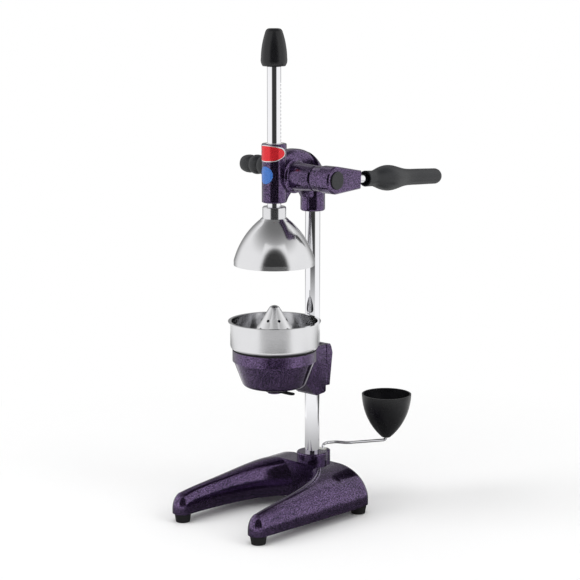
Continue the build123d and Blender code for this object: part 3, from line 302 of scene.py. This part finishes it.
def rolled_oval(name, middle_z, half_long, half_high, facing, rings):
    """An oval sheet from rings, each a share of the oval's size and a lift off the barrel."""
    mesh = bmesh.new()
    loops = []
    for share, lift in rings:
        loop = []
        for corner in range(oval_corners):
            angle = 2 * math.pi * corner / oval_corners
            flat_x = half_long * share * math.cos(angle)
            flat_z = middle_z + half_high * share * math.sin(angle)
            loop.append(mesh.verts.new(roll_on(flat_x, flat_z, lift, facing)))
        loops.append(loop)
    for outer, inner in zip(loops, loops[1:]):
        for corner in range(oval_corners):
            after = (corner + 1) % oval_corners
            mesh.faces.new((outer[corner], outer[after], inner[after], inner[corner]))
    middle = mesh.verts.new(roll_on(0, middle_z, rings[-1][1], facing))
    for corner in range(oval_corners):
        mesh.faces.new((loops[-1][corner], loops[-1][(corner + 1) % oval_corners], middle))
    bmesh.ops.recalc_face_normals(mesh, faces=mesh.faces)
    data = bpy.data.meshes.new(name)
    mesh.to_mesh(data)
    mesh.free()
    piece = bpy.data.objects.new(name, data)
    bpy.context.scene.collection.objects.link(piece)
    for face in data.polygons:
        face.use_smooth = True
    print(name, "faces:", len(data.polygons))
    return piece


# %% Plate and sticker
plate_lift = 0.35 * millimetre
field_lift = 0.8 * plate_lift
bead_inside = 0.885
field_edge = 0.88
sheet_steps = [0.87, 0.75, 0.6, 0.45, 0.3, 0.15]
plate_rings = [(1.0, 0.0), (1.0, plate_lift), (bead_inside, plate_lift), (field_edge, field_lift)]
plate_rings += [(step, field_lift) for step in sheet_steps]
plate_middle = 485.2 * millimetre
plate_half_long = 31 * millimetre
plate_half_high = 11 * millimetre
badge_plate = rolled_oval(
    "badge_plate", plate_middle, plate_half_long, plate_half_high, 0.0, plate_rings,
)
sticker_lift = 0.12 * millimetre
sticker_rings = [(1.0, 0.0), (1.0, sticker_lift)]
sticker_rings += [(step, sticker_lift) for step in sheet_steps]
sticker_middle = 457 * millimetre
sticker_radius = 11.5 * millimetre
sticker_facing = math.radians(-4)
round_sticker = rolled_oval(
    "round_sticker", sticker_middle, sticker_radius, sticker_radius, sticker_facing, sticker_rings,
)

# %% Finishes of the plate and the sticker
plate_red = Finish("plate_red", **{"Metallic": 0.4})
red_cloud = plate_red.noise(150.0, detail=3.0)
plate_red.wear("Base Color", plate_red.mix(red_cloud, (0.66, 0.016, 0.026, 1), (0.80, 0.030, 0.042, 1)))
plate_red.wear("Roughness", 0.14 + 0.08 * red_cloud)
plate_silver = Finish("plate_silver", **{"Metallic": 1.0})
silver_cloud = plate_silver.noise(400.0, detail=2.0)
border_silver = plate_silver.mix(silver_cloud, (0.72, 0.72, 0.74, 1), (0.85, 0.85, 0.86, 1))
plate_silver.wear("Base Color", border_silver)
plate_silver.wear("Roughness", 0.18 + 0.1 * silver_cloud)
sticker_blue = Finish("sticker_blue", **{"Coat Weight": 0.4, "Coat Roughness": 0.1})
blue_cloud = sticker_blue.noise(200.0, detail=2.0)
bare_blue = sticker_blue.mix(blue_cloud, (0.020, 0.13, 0.47, 1), (0.030, 0.16, 0.55, 1))
sticker_blue.wear("Base Color", bare_blue)
sticker_blue.wear("Roughness", 0.3 + 0.1 * blue_cloud)
badge_plate.data.materials.append(plate_red.material)
badge_plate.data.materials.append(plate_silver.material)
border_bands = 2
for face in badge_plate.data.polygons:
    face.material_index = 1 if face.index < border_bands * oval_corners else 0
round_sticker.data.materials.append(sticker_blue.material)
for piece in (badge_plate, round_sticker):
    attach(piece, "frame")

# %% [markdown]
# ## Floor, backdrop and light
# The press is lit like a catalogue picture. A plain white floor keeps a soft shadow near the
# press and fades to white further out. The world is white for the eye and for reflections and
# dimmer as a lamp. Bright metal shows only what it mirrors, so a white room alone would leave
# it flat: tall dark cards stand round the press and flat ones lie on the table, where only
# reflections see them.

# %% Floor that fades to white
floor = Finish("floor_paper", **{"Roughness": 0.9, "Specular IOR Level": 0.1})
floor_spot = floor.place()
floor_distance = floor.node("ShaderNodeVectorMath", {"operation": "LENGTH"}, {0: floor_spot}, "Value")
floor_grain = floor.noise(700.0, detail=2.0)
floor.wear("Base Color", floor.mix(floor_grain, (0.93, 0.93, 0.93, 1), (0.95, 0.95, 0.95, 1)))
fade_start = 0.22
fade_end = 0.75
fade = floor.node(
    "ShaderNodeMapRange", {"interpolation_type": "SMOOTHSTEP"},
    {"Value": floor_distance, "From Min": fade_start, "From Max": fade_end}, "Result",
)
paper_white = floor.node("ShaderNodeEmission", {}, {"Color": (1, 1, 1, 1), "Strength": 1.0}, "Emission")
floor_mix = floor.node(
    "ShaderNodeMixShader", {},
    {0: fade * floor.white_rays(), 1: Amount(floor, floor.shader.outputs[0]), 2: paper_white}, 0,
)
floor.fill(floor.output.inputs["Surface"], floor_mix)
floor_half = 6.0
floor_drop = 0.2 * millimetre
floor_mesh = bpy.data.meshes.new("floor")
corners = [(floor_half * x, floor_half * y, 0) for x, y in ((-1, -1), (1, -1), (1, 1), (-1, 1))]
floor_mesh.from_pydata(corners, [], [(0, 1, 2, 3)])
floor_mesh.materials.append(floor.material)
floor_sheet = bpy.data.objects.new("floor", floor_mesh)
bpy.context.scene.collection.objects.link(floor_sheet)
floor_sheet.location.z = -floor_drop
print("floor is", 2 * floor_half, "m square")

# %% World
world = bpy.data.worlds.new("white_room")
world.use_nodes = True
bpy.context.scene.world = world
room = Graph(world.node_tree)
background = room.nodes["Background"]
background.inputs["Color"].default_value = (1, 1, 1, 1)
room_light = 0.62
room.fill(background.inputs["Strength"], room_light + (1 - room_light) * room.white_rays())
print("strength of the world as a lamp:", room_light)

# %% Lamps
look_at = Vector((0, -60, 280)) * millimetre


def soft_lamp(name, spot, size, power):
    data = bpy.data.lights.new(name, "AREA")
    data.shape = "RECTANGLE"
    data.size, data.size_y = size
    data.energy = power
    lamp = bpy.data.objects.new(name, data)
    lamp.location = spot
    lamp.rotation_euler = (look_at - Vector(spot)).to_track_quat("-Z", "Y").to_euler()
    lamp.visible_glossy = False
    bpy.context.scene.collection.objects.link(lamp)
    return lamp


soft_lamp("key_lamp", (-1.4, -1.9, 2.0), (1.2, 1.6), 26.0)
soft_lamp("fill_lamp", (2.3, 0.2, 1.6), (1.0, 1.6), 14.0)
soft_lamp("top_lamp", (0.2, -0.2, 2.6), (1.6, 1.6), 16.0)
print("lamps:", len(bpy.data.lights))

# %% [markdown]
# ## Cards for the reflections
# A studio photographer puts strips of black card beside polished metal to draw its edges, and
# the grey ceiling and the table show in it too. Each card here is a sheet whose points carry a
# shade: dark in the middle, and white like the room at the rim, so that its edges are soft. It
# is hidden from the camera and takes no light away, so it shows only in gloss. Upright cards
# draw the dark strips on the column and the bell. An upright wall seen from a little above
# mirrors the table, a low part of it near by and a high part further off, so fans on the table,
# each over its own range of distances, shade the bowl and the strainer cup.

# %% A finish that glows with the shade of its sheet
matt_black = {"Base Color": (0, 0, 0, 1), "Roughness": 1.0, "Specular IOR Level": 0.0}
card_glow = Finish("card_glow", **{**matt_black, "Emission Strength": 1.0})
card_shade = card_glow.node("ShaderNodeAttribute", {"attribute_name": "shade"}, {}, "Fac")
card_glow.wear("Emission Color", card_glow.mix(card_shade, (0, 0, 0, 1), (1, 1, 1, 1)))


def ease(share):
    """Rises smoothly from 0 to 1 as the share does."""
    share = min(max(share, 0.0), 1.0)
    return share * share * (3 - 2 * share)


def card(name, spot, rows):
    """A sheet from rows of pairs, each a point and its shade."""
    points = [point for row in rows for point, shade in row]
    shades = [shade for row in rows for point, shade in row]
    wide = len(rows[0])
    faces = [
        (row * wide + at, row * wide + at + 1, (row + 1) * wide + at + 1, (row + 1) * wide + at)
        for row in range(len(rows) - 1) for at in range(wide - 1)
    ]
    data = bpy.data.meshes.new(name)
    data.from_pydata(points, [], faces)
    data.attributes.new("shade", "FLOAT", "POINT").data.foreach_set("value", shades)
    data.materials.append(card_glow.material)
    sheet = bpy.data.objects.new(name, data)
    sheet.location = spot
    bpy.context.scene.collection.objects.link(sheet)
    sheet.visible_camera = False
    sheet.visible_diffuse = False
    sheet.visible_shadow = False
    sheet.visible_transmission = False
    print(name, "points:", len(points))


# %% Upright cards, on a circle round the press
card_distance = 1.14
card_steps = 24


def upright_card(name, azimuth, width, low, high, darkest, soft=0.5, foot=0.1, shoulder=0.5):
    """A strip that faces the press, with soft sides, a soft foot and a round, soft head."""
    rows = []
    for level in range(card_steps + 1):
        up = level / card_steps
        row = []
        for step in range(card_steps + 1):
            along = step / card_steps
            turn = math.radians(azimuth + width * (along - 0.5))
            rise = max(0.0, (up - shoulder) / (1 - shoulder))
            inside = ease((1 - math.hypot(2 * along - 1, rise)) / soft) * ease(up / foot)
            level_z = low + (high - low) * up
            point = (card_distance * math.sin(turn), -card_distance * math.cos(turn), level_z)
            row.append((point, 1 - (1 - darkest) * inside))
        rows.append(row)
    card(name, (0, 0, 0), rows)


front_azimuth = 43
rear_azimuth = front_azimuth + 180
upright_card(
    "card_front", front_azimuth, width=86, low=0.0, high=1.65, darkest=0.04, soft=0.28, shoulder=0.35,
)
upright_card("card_rear", rear_azimuth, width=130, low=-0.05, high=1.9, darkest=0.3, soft=0.6)


# %% Level cards: the grey ceiling, and the shade of the table near the press
def level_card(name, height, reach, middle_shade, inner):
    """A round sheet that turns white towards its rim."""
    rows = []
    for ring in range(card_steps + 1):
        share = ring / card_steps
        shade = middle_shade + (1 - middle_shade) * ease((share - inner) / (1 - inner))
        row = []
        for step in range(card_steps + 1):
            turn = 2 * math.pi * step / card_steps
            point = (reach * share * math.cos(turn), reach * share * math.sin(turn), 0.0)
            row.append((point, shade))
        rows.append(row)
    card(name, (0, 0, height), rows)


level_card("card_ceiling", height=1.7, reach=2.4, middle_shade=0.2, inner=0.15)
level_card("card_table", height=0.0, reach=0.62, middle_shade=0.1, inner=0.1)


# %% Fans on the table, which shade the sides of the bowl and of the strainer cup
fan_height = 4 * millimetre


def fan_card(name, azimuth, width, near, far, darkest, soft, end):
    """A part of a ring on the table, with soft sides and soft ends."""
    rows = []
    for level in range(card_steps + 1):
        up = level / card_steps
        radius = near + (far - near) * up
        row = []
        for step in range(card_steps + 1):
            along = step / card_steps
            turn = math.radians(azimuth + width * (along - 0.5))
            inside = ease(min(along, 1 - along) / soft) * ease(min(up, 1 - up) / end)
            point = (radius * math.sin(turn), -radius * math.cos(turn), fan_height)
            row.append((point, 1 - (1 - darkest) * inside))
        rows.append(row)
    card(name, (0, 0, 0), rows)


side_azimuth = 138
fan_card("fan_front", front_azimuth, width=100, near=0.8, far=1.16, darkest=0.0, soft=0.35, end=0.1)
fan_card("fan_side", side_azimuth, width=70, near=0.5, far=0.95, darkest=0.15, soft=0.4, end=0.3)
fan_card("fan_rear", rear_azimuth, width=170, near=0.45, far=1.25, darkest=0.2, soft=0.45, end=0.2)

# %% [markdown]
# ## Camera
# The photograph looks down a little from the right front. The place, the direction and the
# lens come from solving where known corners of the press fall in the picture.

# %% Camera
eye = Vector((1.5637, -1.7601, 0.7326))
heading = math.radians(42.352)
pitch = math.radians(11.082)
level_part = math.cos(pitch)
forward = Vector((-math.sin(heading) * level_part, math.cos(heading) * level_part, -math.sin(pitch)))
camera_data = bpy.data.cameras.new("camera")
camera_data.sensor_fit = "HORIZONTAL"
camera_data.sensor_width = 36.0
camera_data.lens = 110.96
camera_data.shift_y = 0.02946
camera_data.clip_end = 30.0
camera = bpy.data.objects.new("camera", camera_data)
camera.location = eye
camera.rotation_euler = forward.to_track_quat("-Z", "Y").to_euler()
bpy.context.scene.collection.objects.link(camera)
bpy.context.scene.camera = camera
bpy.context.scene.view_settings.view_transform = "Standard"
print("camera at", tuple(round(value, 3) for value in eye))
